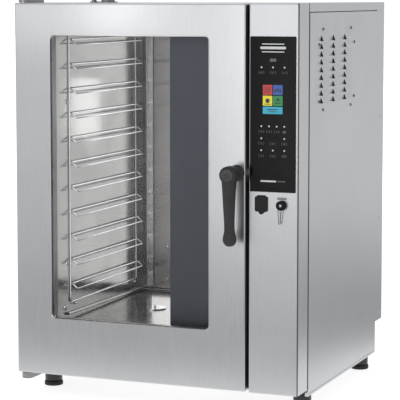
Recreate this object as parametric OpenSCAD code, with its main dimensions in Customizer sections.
// Combi steamer oven, eleven levels, hinged on the left, controls on the right.
// Millimetres, +Z up, +X to the right seen from the front, +Y to the back.
// The origin is on the floor, under the middle of the whole object.

/* [Body] */
// Width across the side panels
body_w = 834; // [800:1:900]
// Depth from the door's front face to the back of the side panels
body_d = 727; // [720:1:780]
// Depth of the duct cover behind the back panel
duct_d = 75; // [60:1:100]
// Height of the side panels, from the top of the cabinet to their lower edge
body_h = 1059; // [1056:1:1070]
// Height of the lower edge of the side panels above the floor
foot_clear = 45; // [30:1:60]
// Thickness of the outer sheets
sheet = 1.5; // [1:0.1:2]

/* [Door] */
// Width of the door
door_w = 685; // [680:1:690]
// Height of the door
door_h = 1040; // [1035:1:1042]
// Thickness of the door
door_t = 58; // [54:1:60]
// Left edge of the window, from the left of the body
win_u0 = 110; // [105:1:120]
// Right edge of the window, from the left of the body
win_u1 = 580; // [560:1:585]
// Upper edge of the window, below the top
win_d0 = 90; // [85:1:100]
// Lower edge of the window, below the top
win_d1 = 878; // [860:1:885]
// Corner radius of the window
win_r = 10; // [6:1:16]

/* [Handle] */
// Turning axis of the handle, from the left of the body
handle_u = 661; // [655:1:665]
// Turning axis of the handle, below the top
handle_d = 450; // [440:1:470]
// Distance of the handle's front from the door
handle_proud = 80; // [74:1:84]
// Length of the lever from its turning axis to its tip
lever_len = 190; // [170:1:200]

/* [Cavity] */
// Number of tray levels
levels = 11; // [9:1:11]
// Distance between two levels
level_pitch = 70; // [60:1:70]
// Depth of the cavity behind the front frame
cavity_depth = 580; // [570:1:590]
// Left wall of the cavity, from the left of the body
cav_u0 = 92; // [90:1:94]
// Right wall of the cavity, from the left of the body
cav_u1 = 600; // [598:1:604]
// Plane of the air baffle, from the left of the body
baffle_u = 436; // [436:1:440]

/* [Controls] */
// Left edge of the control glass, from the left of the body
glass_u0 = 699; // [697:1:702]
// Right edge of the control glass, from the left of the body
glass_u1 = 826; // [820:1:828]
// Upper edge of the control glass, below the top
glass_d0 = 87; // [80:1:95]
// Lower edge of the control glass, below the top
glass_d1 = 497; // [490:1:500]

/* [Side louvres] */
// Columns of louvres in the right side panel
louvre_cols = 3; // [2:1:4]
// Rows of louvres in the right side panel
louvre_rows = 9; // [5:1:10]
// Length of one louvre
louvre_len = 84; // [60:1:90]

/* [Hidden] */
$fn = 48;

top_z = body_h + foot_clear;
left_x = -body_w / 2;
front_y = -(body_d + duct_d - handle_proud) / 2;

// Steel colours
steel = [0.74, 0.75, 0.76];
inner_steel = [0.62, 0.64, 0.67];
black = [0.08, 0.08, 0.09];
dark_plastic = [0.22, 0.22, 0.24];

// Column beside the door
column_u0 = 695;
column_d = 1041;
post_y = 80;
seam = 6;

// Cabinet front behind the door
frame_y = 64;
frame_t = 2;
skirt = 24;
hem = 10;

// Right side panel
louvre_out = 6.6;
louvre_h = 15;
rivet_r = 2.6;
rivet_at = [[202, 71], [457, 71], [171, 112], [489, 112], [171, 266], [489, 266], [204, 290], [458, 290]];

// Cavity
cav_y0 = frame_y + frame_t;
cav_y1 = cav_y0 + cavity_depth;
cav_d0 = 62;
cav_d1 = 902;
wall = 1.5;
joint = 0.1;
partition_u = 630;
lamp_u = 330;
lamp_y = 300;
tech_y1 = body_d - sheet;

// Door hinge axis
hinge_u = 20;
hinge_y = 22;
pin_r = 6;
running = 0.05;

// Racks
rack_y = [147, 606];
rack_post_u = cav_u0 + 2.8;
rack_reach = 22.5;
rail_drop = 14;
wire_r = 2.2;
first_level = 118;
rack_top = 78;
rack_foot = 858;
rack_mid_u = (cav_u0 + baffle_u) / 2;
stud_drop = 6.7;

// Fan
fan_y = 365;
fan_d = 480;
fan_r = 170;
shaft_r = 8;
nozzle_u = 455;
lead_y = [200, 530];
lead_d = fan_d + 160;

// Feet
foot_inset = 37;
foot_y = [150, 692];
frame_base = 1048;
base_y = post_y + 1;
floor_d = body_h + foot_clear;
pad_h = 12;

// Cooling fan on the back panel
cool_u = 725;
cool_d = 300;
cool_r = 56;

// Services on the back panel
drain_u = 264;
drain_r = 20;
drain_d = 991;
spigot_r = 18;
inlet_u = [700, 770];
inlet_d = 992;
inlet_r = 13.2;
gland_u = 560;
gland_d = 992;

// Pipes on the top
chimney_u = 233;
pipe_y = 115;
chimney_r = 19;
vent_u = 190;
vent_r = 7;
pipe_rise = 45;

// Small fittings under the control glass
usb_u = 731;
usb_d = 509;
usb_w = 35;
usb_h = 41;
probe_u = 788;
probe_d = 531;

// Latch in the door
bolt_nose = 691;
bolt_h = 16;

// --- helpers: u is measured from the left, y from the door's front, d down from the top ---
module block(u0, u1, y0, y1, d0, d1)
    translate([left_x + u0, front_y + y0, top_z - d1]) cube([u1 - u0, y1 - y0, d1 - d0]);

module rod_x(u0, u1, y, d, r)
    translate([left_x + u0, front_y + y, top_z - d]) rotate([0, 90, 0]) cylinder(h = u1 - u0, r = r);

module rod_y(u, y0, y1, d, r)
    translate([left_x + u, front_y + y0, top_z - d]) rotate([-90, 0, 0]) cylinder(h = y1 - y0, r = r);

module rod_z(u, y, d0, d1, r)
    translate([left_x + u, front_y + y, top_z - d1]) cylinder(h = d1 - d0, r = r);

module ball(u, y, d, r)
    translate([left_x + u, front_y + y, top_z - d]) sphere(r = r);

// Ring of round wire about an axis along X
module ring_x(u, y, d, ring_r, r)
    translate([left_x + u, front_y + y, top_z - d]) rotate([0, 90, 0])
        rotate_extrude() translate([ring_r, 0]) circle(r = r, $fn = 16);

// Plate with rounded corners, its thickness along Y
module plate_y(u0, u1, y0, y1, d0, d1, r) {
    block(u0 + r, u1 - r, y0, y1, d0, d1);
    block(u0, u1, y0, y1, d0 + r, d1 - r);
    for (u = [u0 + r, u1 - r], d = [d0 + r, d1 - r]) rod_y(u, y0, y1, d, r);
}

// Rectangular ring, its thickness along Y and its opening inside by rim on every side
module ring_plate(u0, u1, y0, y1, d0, d1, rim)
    difference() {
        block(u0, u1, y0, y1, d0, d1);
        block(u0 + rim, u1 - rim, y0 - 1, y1 + 1, d0 + rim, d1 - rim);
    }

// Box of sheet, open on the faces whose margin is zero
module shell(u0, u1, y0, y1, d0, d1, lu, ru, fy, by, td, bd)
    difference() {
        block(u0, u1, y0, y1, d0, d1);
        block(u0 + lu - (lu == 0 ? 1 : 0), u1 - ru + (ru == 0 ? 1 : 0),
              y0 + fy - (fy == 0 ? 1 : 0), y1 - by + (by == 0 ? 1 : 0),
              d0 + td - (td == 0 ? 1 : 0), d1 - bd + (bd == 0 ? 1 : 0));
    }

// --- cabinet ---
module base_frame() color("dimgray") {
    u1 = body_w - 4;
    y1 = tech_y1 - 1;
    difference() {
        union() {
            difference() {
                block(4, u1, base_y, y1, frame_base - 30, frame_base);
                block(34, u1 - 30, base_y + 30, y1 - 30, frame_base - 31, frame_base + 1);
            }
            block(partition_u, partition_u + 30, base_y + 20, y1 - 20, frame_base - 30, frame_base);
            for (u = [foot_inset, body_w - foot_inset], y = foot_y)
                block(u - 30, u + 30, y - 30, y + 30, frame_base - 6, frame_base);
        }
        for (u = [foot_inset, body_w - foot_inset], y = foot_y)
            rod_z(u, y, frame_base - 7, frame_base + 1, 8);
    }
}

module bottom_pan() color(inner_steel)
    shell(4, body_w - 4, base_y, tech_y1 - 1, frame_base - 34, frame_base - 30, wall, wall, wall, wall, 0, wall);

module left_side_panel() color(steel)
    shell(0, hem, frame_y, body_d, skirt + 2, body_h, sheet, 0, 0, 0, 0, sheet);

// One pressed louvre: a thin plate, flush with the panel at its top and its rear, open at the front
module louvre_hood(y, d)
    intersection() {
        translate([left_x + body_w - 1.2, front_y + y + louvre_len, top_z - d])
            rotate([0, -asin(louvre_out / louvre_h), asin(louvre_out / louvre_len)])
                translate([0, -louvre_len, 0]) cube([1.2, louvre_len, louvre_h]);
        block(body_w - 1.4, body_w + louvre_out + 2, y - 1, y + louvre_len + 1, d - louvre_h, d + 1);
    }

module right_side_panel() color(steel) {
    first_y = 185;
    first_d = 103;
    pitch_y = 105.5;
    pitch_d = 21.06;
    difference() {
        shell(body_w - hem, body_w, post_y + seam, body_d, skirt + 2, body_h, 0, sheet, 0, 0, 0, sheet);
        for (c = [0 : louvre_cols - 1], r = [0 : louvre_rows - 1])
            block(body_w - 3, body_w + 1, first_y + c * pitch_y + 2, first_y + c * pitch_y + louvre_len - 30,
                  first_d + r * pitch_d - 7, first_d + r * pitch_d - 0.5);
        for (p = rivet_at) rod_x(body_w - 3, body_w + 1, p[0], p[1], rivet_r + running);
    }
    for (c = [0 : louvre_cols - 1], r = [0 : louvre_rows - 1])
        louvre_hood(first_y + c * pitch_y, first_d + r * pitch_d);
}

module panel_rivets() color("silver")
    for (p = rivet_at) rod_x(body_w - 6, body_w + 1.2, p[0], p[1], rivet_r);

module top_cover() color(steel)
    difference() {
        shell(0, body_w, frame_y, body_d, 0, skirt, sheet, sheet, sheet, sheet, sheet, 0);
        block(column_u0 - 1, body_w + 1, frame_y - 1, post_y + seam, -1, skirt + 1);
        rod_z(chimney_u, pipe_y, -1, skirt, chimney_r + 1);
        rod_z(vent_u, pipe_y, -1, skirt, vent_r + 1);
    }

module back_panel() color(steel)
    difference() {
        block(sheet + 0.5, body_w - sheet - 0.5, tech_y1, body_d, skirt + 2, frame_base);
        rod_y(drain_u, tech_y1 - 1, body_d + 1, drain_d, drain_r + 1);
        rod_y(gland_u, tech_y1 - 1, body_d + 1, gland_d, 9);
        rod_y(cool_u, tech_y1 - 1, body_d + 1, cool_d, cool_r);
        for (u = inlet_u) rod_y(u, tech_y1 - 1, body_d + 1, inlet_d, inlet_r + 0.5);
    }

module rear_duct_cover() color(steel)
    difference() {
        shell(2, body_w - 2, body_d, body_d + duct_d, 0, 966, sheet, sheet, 0, sheet, sheet, sheet);
        for (i = [0 : 9], u = [cool_u - 130, cool_u + 10])
            block(u, u + 84, body_d + duct_d - 3, body_d + duct_d + 1, 230 + i * 16, 235 + i * 16);
    }

module control_column() color(steel)
    difference() {
        union() {
            block(column_u0, body_w, 0, sheet, 0, column_d);
            block(body_w - sheet, body_w, 0, post_y, 0, column_d);
            block(column_u0, column_u0 + sheet, 0, frame_y, 0, column_d);
            block(column_u0, body_w, 0, post_y, 0, sheet);
            block(column_u0, body_w, 0, post_y, column_d - sheet, column_d);
            block(body_w - 20, body_w, post_y - sheet, post_y, 0, column_d);
        }
        block(glass_u0 + 8, glass_u1 - 8, -1, sheet + 1, glass_d0 + 10, glass_d1 - 10);
        block(usb_u - 8, usb_u + 8, -1, sheet + 1, usb_d + 12, usb_d + 26);
        rod_y(probe_u, -1, sheet + 1, probe_d, 11);
    }

module control_glass() color(black)
    plate_y(glass_u0, glass_u1, -3, 0, glass_d0, glass_d1, 3);

module display_screen() color("steelblue")
    block(731, 794, 0.2, 9, 205, 298);

module control_board() color("darkgreen")
    difference() {
        block(glass_u0 + 10, glass_u1 - 10, 10, 12, glass_d0 + 20, glass_d1 - 20);
        for (u = [glass_u0 + 16, glass_u1 - 16], d = [glass_d0 + 26, glass_d1 - 26])
            rod_y(u, 9, 13, d, 2);
    }

module gap_strip() color(black)
    for (span = [[4, handle_d - 30], [handle_d + 30, door_h - 4]])
        block(door_w + 2.2, column_u0 - 0.2, 24, frame_y - 1, span[0], span[1]);

module front_frame() color(steel) {
    u0 = sheet + 1;
    u1 = column_u0 - 0.5;
    d0 = skirt + 2;
    block(u0, u1, frame_y, frame_y + frame_t, d0, cav_d0);
    block(u0, u1, frame_y, frame_y + frame_t, cav_d1, frame_base);
    block(u0, cav_u0, frame_y, frame_y + frame_t, cav_d0 + joint, cav_d1 - joint);
    block(cav_u1, u1, frame_y, frame_y + frame_t, cav_d0 + joint, cav_d1 - joint);
}

// Five walls, each a sheet of its own, so that the cavity stays open
module cavity_liner() color(inner_steel) {
    difference() {
        block(cav_u0 - wall, cav_u1 + wall, cav_y0, cav_y1 + wall, cav_d0 - wall, cav_d0);
        rod_z(chimney_u, pipe_y, cav_d0 - 3, cav_d0 + 1, chimney_r + 0.5);
        rod_z(vent_u, pipe_y, cav_d0 - 3, cav_d0 + 1, vent_r + 0.5);
        rod_z(lamp_u, lamp_y, cav_d0 - 3, cav_d0 + 1, 26);
        rod_z(nozzle_u, fan_y, cav_d0 - 3, cav_d0 + 1, 4.5);
    }
    difference() {
        block(cav_u0 - wall, cav_u1 + wall, cav_y0, cav_y1 + wall, cav_d1, cav_d1 + wall);
        rod_z(drain_u, fan_y, cav_d1 - 1, cav_d1 + 3, drain_r - 1.5);
    }
    difference() {
        block(cav_u1, cav_u1 + wall, cav_y0, cav_y1 + wall, cav_d0 + joint, cav_d1 - joint);
        rod_x(cav_u1 - 1, cav_u1 + 3, fan_y, fan_d, 15);
        for (y = lead_y) rod_x(cav_u1 - 1, cav_u1 + 3, y, lead_d, 6);
    }
    block(cav_u0 - wall, cav_u0, cav_y0, cav_y1 + wall, cav_d0 + joint, cav_d1 - joint);
    block(cav_u0 + joint, cav_u1 - joint, cav_y1, cav_y1 + wall, cav_d0 + joint, cav_d1 - joint);
}

module cavity_insulation() color("khaki")
    difference() {
        block(24, partition_u - 1, cav_y0 + 1, tech_y1 - 10, skirt + 6, 950);
        block(cav_u0 - wall - 0.5, cav_u1 + wall + 0.5, cav_y0, cav_y1 + wall + 0.5,
              cav_d0 - wall - 0.5, cav_d1 + wall + 0.5);
        rod_x(cav_u1, partition_u, fan_y, fan_d, 22);
        rod_z(chimney_u, pipe_y, 10, cav_d0, chimney_r + 3);
        rod_z(vent_u, pipe_y, 10, cav_d0, vent_r + 3);
        rod_z(drain_u, fan_y, cav_d1, 960, drain_r + 3);
        rod_z(lamp_u, lamp_y, 10, cav_d0, 34);
        rod_z(nozzle_u, fan_y, 10, cav_d0, 8);
        for (y = lead_y) rod_x(cav_u1, partition_u, y, lead_d, 9);
    }

module door_gasket() color(black)
    ring_plate(cav_u0 - 18, cav_u1 + 18, door_t + 0.4, frame_y, cav_d0 - 18, cav_d1 + 18, 12);

// One stud with a domed head, on the left wall or on the baffle
module rack_stud(y, d, dir) {
    u_wall = dir > 0 ? cav_u0 : baffle_u;
    rod_x(min(u_wall, u_wall + dir * 8), max(u_wall, u_wall + dir * 8), y, d, 4);
    ball(u_wall + dir * 8, y, d, 4);
}

module rack_studs() color("silver")
    for (y = [rack_y[0] + 24, rack_y[1] - 24], d = [rack_top, rack_foot] + stud_drop * [1, 1], dir = [-1, 1])
        rack_stud(y, d, dir);

module air_baffle() color([0.45, 0.48, 0.54]) {
    y0 = 76;
    y1 = cav_y1 - 14;
    d0 = cav_d0 + 8;
    d1 = cav_d1 - 8;
    difference() {
        block(baffle_u, baffle_u + wall, y0, y1, d0, d1);
        rod_x(baffle_u - 1, baffle_u + 3, fan_y, fan_d, 130);
    }
    block(baffle_u + wall + joint, cav_u1 - 4, y0, y0 + wall, d0, d1);
    difference() {
        block(baffle_u + wall + joint, cav_u1 - 4, y1 - wall, y1, d0, d1);
        for (i = [0 : 8]) block(baffle_u + 30, cav_u1 - 34, y1 - 3, y1 + 1, 130 + i * 80, 170 + i * 80);
    }
    for (r = [30, 62, 94, 126]) ring_x(baffle_u + 2, fan_y, fan_d, r, 1.8);
    for (a = [0, 90])
        translate([left_x + baffle_u + 2, front_y + fan_y, top_z - fan_d]) rotate([a, 0, 0])
            translate([-1.6, -134, -3]) cube([3.2, 268, 6]);
}

// --- fan side ---
module motor_plate() color(inner_steel)
    difference() {
        block(partition_u, partition_u + 2, cav_y0 + 1, tech_y1 - 2, skirt + 2, frame_base - 41);
        rod_x(partition_u - 1, partition_u + 3, fan_y, fan_d, shaft_r + 2);
        for (y = lead_y) rod_x(partition_u - 1, partition_u + 3, y, lead_d, 7);
    }

module fan_motor() color("slategray")
    difference() {
        union() {
            rod_x(partition_u + 2, partition_u + 132, fan_y, fan_d, 68);
            rod_x(partition_u + 2, partition_u + 10, fan_y, fan_d, 84);
            for (a = [0 : 30 : 330])
                translate([left_x + partition_u + 20, front_y + fan_y, top_z - fan_d]) rotate([a, 0, 0])
                    translate([0, -2, 60]) cube([100, 4, 14]);
            block(partition_u + 40, partition_u + 100, fan_y - 30, fan_y + 30, fan_d - 100, fan_d - 60);
        }
        rod_x(partition_u + 1, partition_u + 62, fan_y, fan_d, shaft_r + running);
    }

module fan_shaft() color("silver") {
    rod_x(478, partition_u + 60, fan_y, fan_d, shaft_r);
    rod_x(474, 482, fan_y, fan_d, 13);
}

module fan_wheel() color("silver")
    difference() {
        union() {
            rod_x(552, 554, fan_y, fan_d, fan_r);
            rod_x(486, 554, fan_y, fan_d, 26);
            difference() {
                rod_x(486, 488, fan_y, fan_d, fan_r);
                rod_x(485, 489, fan_y, fan_d, fan_r - 40);
            }
            for (a = [0 : 30 : 330])
                translate([left_x + 486, front_y + fan_y, top_z - fan_d]) rotate([a, 0, 0])
                    translate([0, -1, 118]) cube([68, 2, 50]);
        }
        rod_x(480, 560, fan_y, fan_d, shaft_r);
    }

module heating_element() color("dimgray") {
    for (u = [492, 518, 544]) ring_x(u, fan_y, fan_d, 205, 5);
    for (y = lead_y) {
        rod_x(492, partition_u + 12, y, lead_d, 5);
        block(487, 549, y - 3, y + 3, fan_d + 112, fan_d + 156);
    }
    block(487, 549, fan_y - 3, fan_y + 3, fan_d - 211, fan_d - 200);
}

module steam_nozzle() color("silver") {
    rod_z(nozzle_u, fan_y, 30, fan_d, 4);
    rod_x(nozzle_u, nozzle_u + 15, fan_y, fan_d, 4);
    ball(nozzle_u, fan_y, fan_d, 4);
}

module contactor_rail() color("lightgray") {
    block(partition_u + 2, partition_u + 9, 470, 700, 690, 725);
    for (i = [0 : 3]) block(partition_u + 9, partition_u + 75, 480 + i * 52, 525 + i * 52, 665, 750);
    block(partition_u + 2, partition_u + 45, 480, 690, 820, 860);
}

module water_valve() color("white") {
    for (u = inlet_u) {
        block(u - 18, u + 18, 640, 690, inlet_d - 30, inlet_d + 6);
        rod_z(u, 660, inlet_d - 75, inlet_d - 28, 15);
    }
}

module water_inlets() color("goldenrod")
    for (u = inlet_u) difference() {
        union() {
            rod_y(u, 690, body_d + 24, inlet_d, inlet_r);
            rod_y(u, body_d, body_d + 6, inlet_d, 18);
        }
        rod_y(u, 689, body_d + 25, inlet_d, 8.5);
    }

module drain_outlet() color(steel)
    difference() {
        union() {
            rod_z(drain_u, fan_y, cav_d1 + wall, drain_d, drain_r);
            ball(drain_u, fan_y, drain_d, drain_r);
            rod_y(drain_u, fan_y, body_d + 8, drain_d, drain_r);
            rod_y(drain_u, body_d, body_d + 68, drain_d, spigot_r);
        }
        rod_z(drain_u, fan_y, cav_d1, drain_d, drain_r - 2);
        ball(drain_u, fan_y, drain_d, drain_r - 2);
        rod_y(drain_u, fan_y, body_d + 6, drain_d, drain_r - 2);
        rod_y(drain_u, body_d, body_d + 69, drain_d, spigot_r - 2);
    }

module drain_filter() color("silver") {
    difference() {
        union() {
            rod_z(drain_u, fan_y, cav_d1 - 3, cav_d1 - 0.4, 34);
            rod_z(drain_u, fan_y, cav_d1 - 3, cav_d1 + 14, 17);
        }
        rod_z(drain_u, fan_y, cav_d1 - 2, cav_d1 + 12, 15);
        for (a = [0 : 45 : 315])
            translate([left_x + drain_u + 11 * cos(a), front_y + fan_y + 11 * sin(a), top_z - cav_d1 - 16])
                cylinder(h = 24, r = 2);
    }
    rod_z(drain_u, fan_y, cav_d1 - 10, cav_d1 - 2.5, 3);
}

module exhaust_chimney() color(steel)
    difference() {
        union() {
            rod_z(chimney_u, pipe_y, -pipe_rise, cav_d0 - 0.2, chimney_r);
            rod_z(chimney_u, pipe_y, -3, 0, chimney_r + 8);
        }
        rod_z(chimney_u, pipe_y, -pipe_rise - 1, cav_d0 + 1, chimney_r - 1.5);
    }

module vent_pipe() color(steel)
    difference() {
        union() {
            rod_z(vent_u, pipe_y, -pipe_rise + 5, cav_d0 - 0.2, vent_r);
            rod_z(vent_u, pipe_y, -3, 0, vent_r + 5);
        }
        rod_z(vent_u, pipe_y, -pipe_rise, cav_d0 + 1, vent_r - 1.5);
    }

module cable_gland() color(black)
    difference() {
        union() {
            rod_y(gland_u, tech_y1 - 14, body_d + 24, gland_d, 8.9);
            translate([left_x + gland_u, front_y + body_d, top_z - gland_d]) rotate([-90, 0, 0])
                cylinder(h = 8, r = 14, $fn = 6);
            rod_y(gland_u, body_d + 8, body_d + 20, gland_d, 12);
        }
        rod_y(gland_u, tech_y1 - 15, body_d + 25, gland_d, 6);
    }

module cooling_fan_housing() color(black) {
    difference() {
        block(cool_u - 60, cool_u + 60, tech_y1 - 38, tech_y1, cool_d - 60, cool_d + 60);
        rod_y(cool_u, tech_y1 - 39, tech_y1 + 1, cool_d, cool_r + 1);
    }
    difference() {
        union() {
            rod_y(cool_u, tech_y1 - 38, tech_y1 - 30, cool_d, 20);
            for (a = [45, 135])
                translate([left_x + cool_u, front_y + tech_y1 - 38, top_z - cool_d]) rotate([0, a, 0])
                    translate([-cool_r - 2, 0, -4]) cube([2 * cool_r + 4, 6, 8]);
        }
        rod_y(cool_u, tech_y1 - 39, tech_y1 - 29, cool_d, 4 + running);
    }
}

module cooling_fan_blades() color("gray") {
    rod_y(cool_u, tech_y1 - 37, tech_y1 - 27, cool_d, 4);
    rod_y(cool_u, tech_y1 - 28, tech_y1 - 4, cool_d, 21);
    for (a = [0 : 72 : 288])
        translate([left_x + cool_u, front_y + tech_y1 - 16, top_z - cool_d]) rotate([0, a, 0])
            translate([18, 0, 0]) rotate([32, 0, 0]) translate([0, -1, -15]) cube([34, 2, 30]);
}

// --- fittings on the front ---
module hinge_brackets() color("silver") {
    for (span = [[-8, 0], [door_h + 2, body_h]])
        difference() {
            union() {
                rod_z(hinge_u, hinge_y, span[0], span[1], 16);
                block(hinge_u - 16, hinge_u + 16, hinge_y, 110, span[0], span[1]);
            }
            rod_z(hinge_u, hinge_y, span[0] - 1, span[1] + 1, pin_r + running);
            if (span[0] > 0) {
                block(0, 60, frame_y - 1, 111, span[0] - 1, frame_base);
                block(0, hem + 0.5, frame_y - 1, 111, span[0] - 1, body_h + 1);
            }
        }
}

module door_striker() color("silver")
    difference() {
        block(692.3, column_u0, 26, 56, handle_d - 24, handle_d + 24);
        for (d = [handle_d - 18, handle_d + 18]) rod_x(692, column_u0 + 1, 41, d, 2.5);
    }

module cavity_lamp() color("lightyellow") {
    rod_z(lamp_u, lamp_y, 34, cav_d0 - wall, 30);
    rod_z(lamp_u, lamp_y, cav_d0 - wall, cav_d0 + 4, 25.5);
    difference() {
        ball(lamp_u, lamp_y, cav_d0 - 4, 25);
        block(lamp_u - 30, lamp_u + 30, lamp_y - 30, lamp_y + 30, 20, cav_d0 + 3);
    }
}

module usb_socket() color("silver")
    difference() {
        block(usb_u - 7.5, usb_u + 7.5, 0.2, 18, usb_d + 12.5, usb_d + 25.5);
        block(usb_u - 6, usb_u + 6, -1, 12, usb_d + 14, usb_d + 24);
    }

module usb_cover() color(black) {
    plate_y(usb_u - usb_w / 2, usb_u + usb_w / 2, -6, -0.5, usb_d, usb_d + usb_h, 5);
    rod_y(usb_u, -6, -0.5, usb_d + usb_h, 7);
    rod_x(usb_u - 11, usb_u + 11, -3.25, usb_d, 2.75);
}

module probe_socket() color(black)
    difference() {
        union() {
            rod_y(probe_u, -4, 0, probe_d, 13);
            rod_y(probe_u, 0, 30, probe_d, 10.5);
        }
        rod_y(probe_u, -5, 26, probe_d, 6 + running);
    }

module probe_cap() color(black) {
    rod_y(probe_u, -14, -4.3, probe_d, 13);
    rod_y(probe_u, -4.4, 22, probe_d, 6);
}

// Two wires of a loop that hangs from the cap's rim
module cap_tether() color("silver")
    for (side = [-1, 1]) {
        run = 45;
        low_u = probe_u - 3.7 + side * 1.1;
        translate([left_x + low_u, front_y - 9, top_z - probe_d - 13.2 - run])
            rotate([0, atan2(3.7 + side * 4.9, run), 0]) cylinder(h = run, r = 0.9);
    }

// --- feet ---
module feet_sleeves() color(black)
    for (u = [foot_inset, body_w - foot_inset], y = foot_y) difference() {
        rod_z(u, y, frame_base, floor_d - pad_h - 2, 25);
        rod_z(u, y, frame_base + 6, floor_d, 17);
    }

module feet_pads() color(black)
    for (u = [foot_inset, body_w - foot_inset], y = foot_y) {
        rod_z(u, y, floor_d - pad_h, floor_d, 27);
        rod_z(u, y, frame_base + 8, floor_d - pad_h + 1, 16.95);
    }

// --- door ---
module door_skin() color(steel)
    difference() {
        union() {
            shell(0, door_w, 0, door_t - 2.2, 1, door_h, sheet, sheet, sheet, 0, sheet, sheet);
            plate_y(win_u0 - sheet, win_u1 + sheet, 0, 8.5, win_d0 - sheet, win_d1 + sheet, win_r);
        }
        plate_y(win_u0, win_u1, -1, 10, win_d0, win_d1, win_r - 1);
        for (d = [1, door_h]) rod_z(hinge_u, hinge_y, d - 3, d + 3, pin_r + 0.5);
        rod_y(handle_u, -1, 4, handle_d, shaft_r + 1);
        block(door_w - 3, door_w + 1, 33, 47, handle_d - bolt_h / 2 - 0.6, handle_d + bolt_h / 2 + 0.6);
    }

module door_back_frame() color(inner_steel) {
    difference() {
        block(0.3, door_w - 0.3, door_t - 2, door_t, 1.3, door_h - 0.3);
        plate_y(win_u0 - 14, win_u1 + 14, door_t - 3, door_t + 1, win_d0 - 14, win_d1 + 14, win_r);
    }
    ring_plate(win_u0 - 16, win_u1 + 16, 50.2, door_t - 1.9, win_d0 - 16, win_d1 + 16, 2);
}

module outer_glass() color("lightcyan", 0.35)
    block(win_u0 - 12, win_u1 + 12, 8.7, 14.7, win_d0 - 12, win_d1 + 12);

module inner_glass() color("lightcyan", 0.35)
    block(win_u0 - 22, win_u1 + 22, 44, 50, win_d0 - 22, win_d1 + 22);

module window_seal() color(black)
    ring_plate(win_u0 - 12, win_u1 + 12, 14.8, 43.9, win_d0 - 12, win_d1 + 12, 8);

module hinge_pins() color("silver") {
    rod_z(hinge_u, hinge_y, -7.5, 32, pin_r);
    rod_z(hinge_u, hinge_y, door_h - 31, body_h - 1, pin_r);
    rod_z(hinge_u, hinge_y, 0.2, 0.9, 12);
    rod_z(hinge_u, hinge_y, door_h + 0.3, door_h + 1.8, 12);
    for (d = [4, door_h - 34]) block(3, 40, 6, 50, d, d + 30);
}

module drip_channel() color(steel)
    shell(60, door_w - 60, 34, door_t - 1, door_h, door_h + 6, sheet, sheet, sheet, sheet, 0, sheet);

module handle_base() color(dark_plastic)
    difference() {
        union() {
            rod_y(handle_u, -9, 0, handle_d, 22);
            rod_y(handle_u, -14, -9, handle_d, 17);
        }
        rod_y(handle_u, -15, 1, handle_d, shaft_r + running);
    }

module latch_case() color("gray")
    difference() {
        block(handle_u - 40, door_w - 1.7, 10, 52, handle_d - 45, handle_d + 45);
        rod_y(handle_u, 9, 46, handle_d, 15);
        block(handle_u, door_w, 33.7, 46.3, handle_d - bolt_h / 2 - 0.3, handle_d + bolt_h / 2 + 0.3);
    }

module latch_bolt() color("silver")
    difference() {
        block(handle_u + 17, bolt_nose, 34, 46, handle_d - bolt_h / 2, handle_d + bolt_h / 2);
        translate([left_x + bolt_nose, front_y + 46, top_z - handle_d - 10])
            rotate([0, 0, 45]) translate([-3, -3, 0]) cube([6, 6, 20]);
    }

// Outline of the lever at one height: a rounded bar across the door
module lever_slice(d, half_w, y0, y1)
    for (s = [-1, 1]) {
        rod_z(handle_u + s * (half_w - 7), y0 + 7, d - 0.5, d + 0.5, 7, $fn = 24);
        rod_z(handle_u + s * (half_w - 7), y1 - 7, d - 0.5, d + 0.5, 7, $fn = 24);
    }

module handle_lever() color(dark_plastic) {
    difference() {
        union() {
            rod_y(handle_u, -handle_proud + 6, -38, handle_d, 23.5);
            rod_y(handle_u, -39, -15, handle_d, 18);
        }
        rod_y(handle_u, -50, -14, handle_d, shaft_r);
    }
    hull() {
        lever_slice(handle_d + 12, 20, -72, -44);
        lever_slice(handle_d + 60, 17, -70, -44);
    }
    hull() {
        lever_slice(handle_d + 60, 17, -70, -44);
        lever_slice(handle_d + lever_len - 48, 14, -66, -42);
    }
    hull() {
        lever_slice(handle_d + lever_len - 48, 14, -66, -42);
        lever_slice(handle_d + lever_len - 14, 19, -66, -38);
        lever_slice(handle_d + lever_len - 1, 12, -62, -42);
    }
}

module handle_cap() color(dark_plastic) {
    rod_y(handle_u, -handle_proud + 2, -handle_proud + 6, handle_d, 20);
    for (i = [-1, 0, 1])
        translate([left_x + handle_u + i * 10, front_y - handle_proud, top_z - handle_d])
            rotate([0, 20, 0]) translate([-2, 0, -13]) cube([4, 3, 26]);
}

module handle_spindle() color("silver") {
    rod_y(handle_u, -50, 45, handle_d, shaft_r);
    rod_y(handle_u, 20, 32, handle_d, 12);
}

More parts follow.
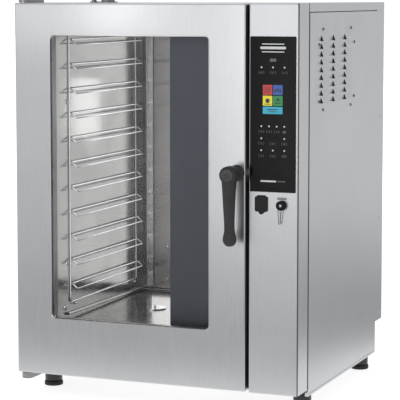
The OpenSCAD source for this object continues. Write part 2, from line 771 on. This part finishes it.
// --- racks ---
// One wire from the upper wire of a rail down to the lower one
module rail_arm(u0, reach, dir, y, d) {
    tilt = atan2(reach, rail_drop);
    translate([left_x + u0, front_y + y, top_z - d])
        rotate([0, 180 - dir * tilt, 0])
            cylinder(h = sqrt(reach * reach + rail_drop * rail_drop), r = wire_r, $fn = 16);
}

// One rail: an upper wire beside the posts and a lower one that carries the tray
module rail(u0, dir, d) {
    gap = 2 * wire_r + joint;
    rod_y(u0 + dir * gap, rack_y[0] - wire_r, rack_y[1] + wire_r, d - rail_drop, wire_r, $fn = 16);
    rod_y(u0 + dir * rack_reach, rack_y[0] - wire_r, rack_y[1] + wire_r, d, wire_r, $fn = 16);
    for (y = rack_y) rail_arm(u0 + dir * gap, rack_reach - gap, dir, y, d - rail_drop);
}

module rack(u0, dir) {
    for (y = rack_y) rod_z(u0, y, rack_top + wire_r + joint, rack_foot - wire_r - joint, wire_r);
    for (d = [rack_top, rack_foot]) rod_y(u0, rack_y[0] - wire_r, rack_y[1] + wire_r, d, wire_r);
    for (i = [0 : levels - 1]) rail(u0, dir, first_level + i * level_pitch);
}

module left_rack() color("silver") rack(rack_post_u, 1);
module right_rack() color("silver") rack(2 * rack_mid_u - rack_post_u, -1);

base_frame();
bottom_pan();
left_side_panel();
right_side_panel();
top_cover();
back_panel();
rear_duct_cover();
control_column();
control_glass();
display_screen();
control_board();
gap_strip();
front_frame();
cavity_liner();
cavity_insulation();
door_gasket();
rack_studs();
air_baffle();
motor_plate();
fan_motor();
heating_element();
steam_nozzle();
water_valve();
water_inlets();
drain_outlet();
exhaust_chimney();
vent_pipe();
cable_gland();
contactor_rail();
cooling_fan_housing();
panel_rivets();
hinge_brackets();
door_striker();
cavity_lamp();
usb_socket();
probe_socket();
feet_sleeves();
feet_pads();
drain_filter();
door_skin();
door_back_frame();
outer_glass();
inner_glass();
window_seal();
hinge_pins();
handle_base();
latch_case();
drip_channel();
latch_bolt();
handle_lever();
handle_cap();
handle_spindle();
fan_wheel();
fan_shaft();
cooling_fan_blades();
left_rack();
right_rack();
usb_cover();
probe_cap();
cap_tether();
